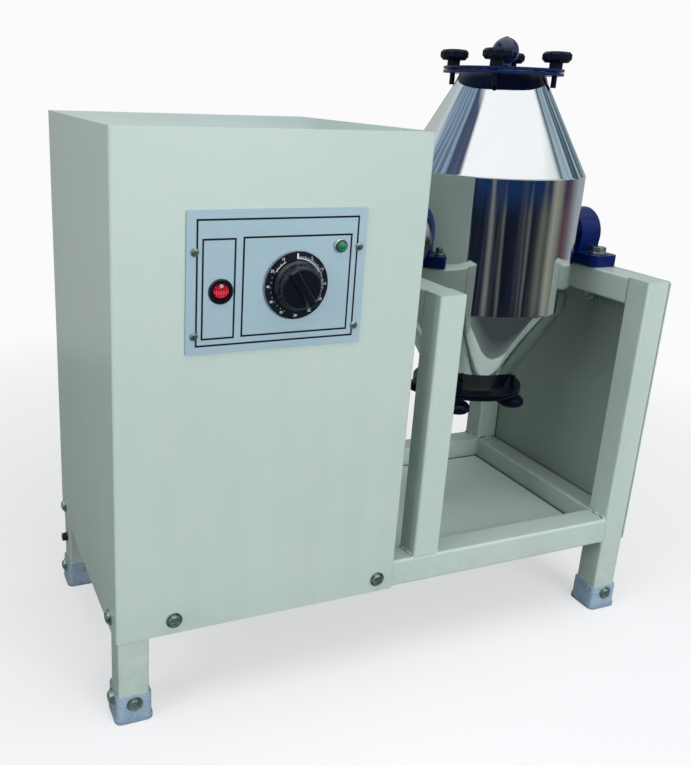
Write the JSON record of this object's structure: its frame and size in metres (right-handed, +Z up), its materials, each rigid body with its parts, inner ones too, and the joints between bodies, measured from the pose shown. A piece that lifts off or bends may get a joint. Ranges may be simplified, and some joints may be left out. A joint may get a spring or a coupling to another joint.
{
  "type": "double cone mixer",
  "caption": "Laboratory double cone mixer: polished vessel tumbling on two pillow blocks in a tube frame, with a sheet metal drive cabinet beside it.",
  "frame": {"origin": "on the floor, under the middle of the bounding box", "axes": "+X along the front from the cabinet to the vessel, +Y to the back, +Z up"},
  "size_m": [0.6592, 0.3291, 0.6835],
  "materials": {
    "frame_paint": "pale ivory enamel, satin",
    "foot_plastic": "milky translucent polythene",
    "zinc_fastener": "bright zinc plate",
    "gland_plastic": "black nylon",
    "panel_aluminium": "printed aluminium, pale blue white",
    "switch_black": "black moulded",
    "switch_red": "red translucent",
    "timer_case": "cream moulded",
    "lamp_chrome": "bright plated",
    "lamp_green": "green translucent",
    "bearing_blue": "blue enamel on cast iron",
    "bearing_steel": "ground steel",
    "nipple_brass": "turned brass and bronze",
    "vessel_polished": "mirror polished stainless steel",
    "shaft_steel": "turned stainless steel",
    "lid_navy": "dark navy, glossy",
    "gasket_silicone": "white silicone",
    "handle_gloss": "black phenolic ball",
    "knob_black": "black phenolic",
    "pulley_iron": "turned cast iron",
    "belt_rubber": "black rubber belt",
    "gearbox_paint": "grey enamel",
    "motor_paint": "blue grey enamel",
    "stator_copper": "laminations and varnished winding",
    "fan_plastic": "black nylon",
    "capacitor_white": "white can"
  },
  "bodies": {
    "frame": {"right_posts": "frame_paint", "mid_posts": "frame_paint", "left_legs": "frame_paint", "long_base_rails": "frame_paint", "short_base_rails": "frame_paint", "bearing_rails": "frame_paint", "base_plate": "frame_paint", "side_panel": "frame_paint", "foot_caps": "foot_plastic", "frame_bolts": "zinc_fastener", "cabinet_cover": "frame_paint", "cable_gland": "gland_plastic", "control_plate": "panel_aluminium", "plate_screws": "zinc_fastener", "rocker_housing": "switch_black", "timer_body": "timer_case", "timer_dial": "switch_black", "lamp_bezel": "lamp_chrome", "lamp_lens": "lamp_green", "bearing_housings": "bearing_blue", "bearing_outer_rings": "bearing_steel", "grease_nipples": "nipple_brass", "bearing_bolts": "zinc_fastener", "drive_belt": "belt_rubber", "gearbox_housing": "gearbox_paint", "gearbox_riser": "gearbox_paint", "gearbox_bolts": "zinc_fastener", "motor_shell": "motor_paint", "motor_stator": "stator_copper", "fan_cover": "motor_paint", "run_capacitor": "capacitor_white", "terminal_block": "timer_case"},
    "vessel": {"vessel_cylinder": "vessel_polished", "upper_cone": "vessel_polished", "lower_cone": "vessel_polished", "neck_flanges": "lid_navy", "lid_gaskets": "gasket_silicone", "trunnion_shafts": "shaft_steel", "bearing_inner_rings": "bearing_steel", "large_pulley": "pulley_iron"},
    "top_lid": {"top_lid": "lid_navy", "lid_handle": "handle_gloss"},
    "bottom_lid": {"bottom_lid": "lid_navy"},
    "drive_shaft": {"output_shaft": "bearing_steel", "worm_wheel": "nipple_brass", "small_pulley": "pulley_iron"},
    "motor_shaft": {"motor_rotor": "bearing_steel", "motor_fan": "fan_plastic"},
    "timer": {"timer_knob": "switch_black"},
    "rocker": {"rocker_button": "switch_red"},
    "top_knob_1": {"top_knob_1": "knob_black"},
    "top_knob_2": {"top_knob_2": "knob_black"},
    "top_knob_3": {"top_knob_3": "knob_black"},
    "top_knob_4": {"top_knob_4": "knob_black"},
    "bottom_knob_1": {"bottom_knob_1": "knob_black"},
    "bottom_knob_2": {"bottom_knob_2": "knob_black"},
    "bottom_knob_3": {"bottom_knob_3": "knob_black"},
    "bottom_knob_4": {"bottom_knob_4": "knob_black"}
  },
  "joints": [
    {"name": "vessel_spin", "type": "hinge", "parent": "frame", "child": "vessel", "pos_m": [0.16725, 0.0087, 0.4583], "axis": [1, 0, 0], "continuous": true},
    {"name": "drive_shaft_spin", "type": "hinge", "parent": "frame", "child": "drive_shaft", "pos_m": [-0.0385, 0.0087, 0.163], "axis": [1, 0, 0], "continuous": true},
    {"name": "motor_spin", "type": "hinge", "parent": "frame", "child": "motor_shaft", "pos_m": [-0.1045, 0.0487, 0.163], "axis": [0, 0, 1], "continuous": true},
    {"name": "top_lid_lift", "type": "slide", "parent": "vessel", "child": "top_lid", "axis": [0, 0, 1], "range_m": [0, 0.08]},
    {"name": "bottom_lid_drop", "type": "slide", "parent": "vessel", "child": "bottom_lid", "axis": [0, 0, -1], "range_m": [0, 0.08]},
    {"name": "timer_turn", "type": "hinge", "parent": "frame", "child": "timer", "pos_m": [-0.152, -0.1433, 0.4465], "axis": [0, 1, 0], "range_deg": [0, 300]},
    {"name": "rocker_tip", "type": "hinge", "parent": "frame", "child": "rocker", "pos_m": [-0.225, -0.1383, 0.444], "axis": [1, 0, 0], "range_deg": [0, 16]},
    {"name": "top_knob_1_turn", "type": "hinge", "parent": "top_lid", "child": "top_knob_1", "pos_m": [0.20755, 0.049, 0.6495], "axis": [0, 0, 1], "range_deg": [0, 1080]},
    {"name": "top_knob_2_turn", "type": "hinge", "parent": "top_lid", "child": "top_knob_2", "pos_m": [0.12695, 0.049, 0.6495], "axis": [0, 0, 1], "range_deg": [0, 1080]},
    {"name": "top_knob_3_turn", "type": "hinge", "parent": "top_lid", "child": "top_knob_3", "pos_m": [0.12695, -0.03161, 0.6495], "axis": [0, 0, 1], "range_deg": [0, 1080]},
    {"name": "top_knob_4_turn", "type": "hinge", "parent": "top_lid", "child": "top_knob_4", "pos_m": [0.20755, -0.03161, 0.6495], "axis": [0, 0, 1], "range_deg": [0, 1080]},
    {"name": "bottom_knob_1_turn", "type": "hinge", "parent": "bottom_lid", "child": "bottom_knob_1", "pos_m": [0.20755, 0.049, 0.2671], "axis": [0, 0, -1], "range_deg": [0, 1080]},
    {"name": "bottom_knob_2_turn", "type": "hinge", "parent": "bottom_lid", "child": "bottom_knob_2", "pos_m": [0.12695, 0.049, 0.2671], "axis": [0, 0, -1], "range_deg": [0, 1080]},
    {"name": "bottom_knob_3_turn", "type": "hinge", "parent": "bottom_lid", "child": "bottom_knob_3", "pos_m": [0.12695, -0.03161, 0.2671], "axis": [0, 0, -1], "range_deg": [0, 1080]},
    {"name": "bottom_knob_4_turn", "type": "hinge", "parent": "bottom_lid", "child": "bottom_knob_4", "pos_m": [0.20755, -0.03161, 0.2671], "axis": [0, 0, -1], "range_deg": [0, 1080]}
  ],
  "couplings": [
    {"joint": "drive_shaft_spin", "follows": "vessel_spin", "ratio": 2.4},
    {"joint": "motor_spin", "follows": "vessel_spin", "ratio": 48}
  ]
}
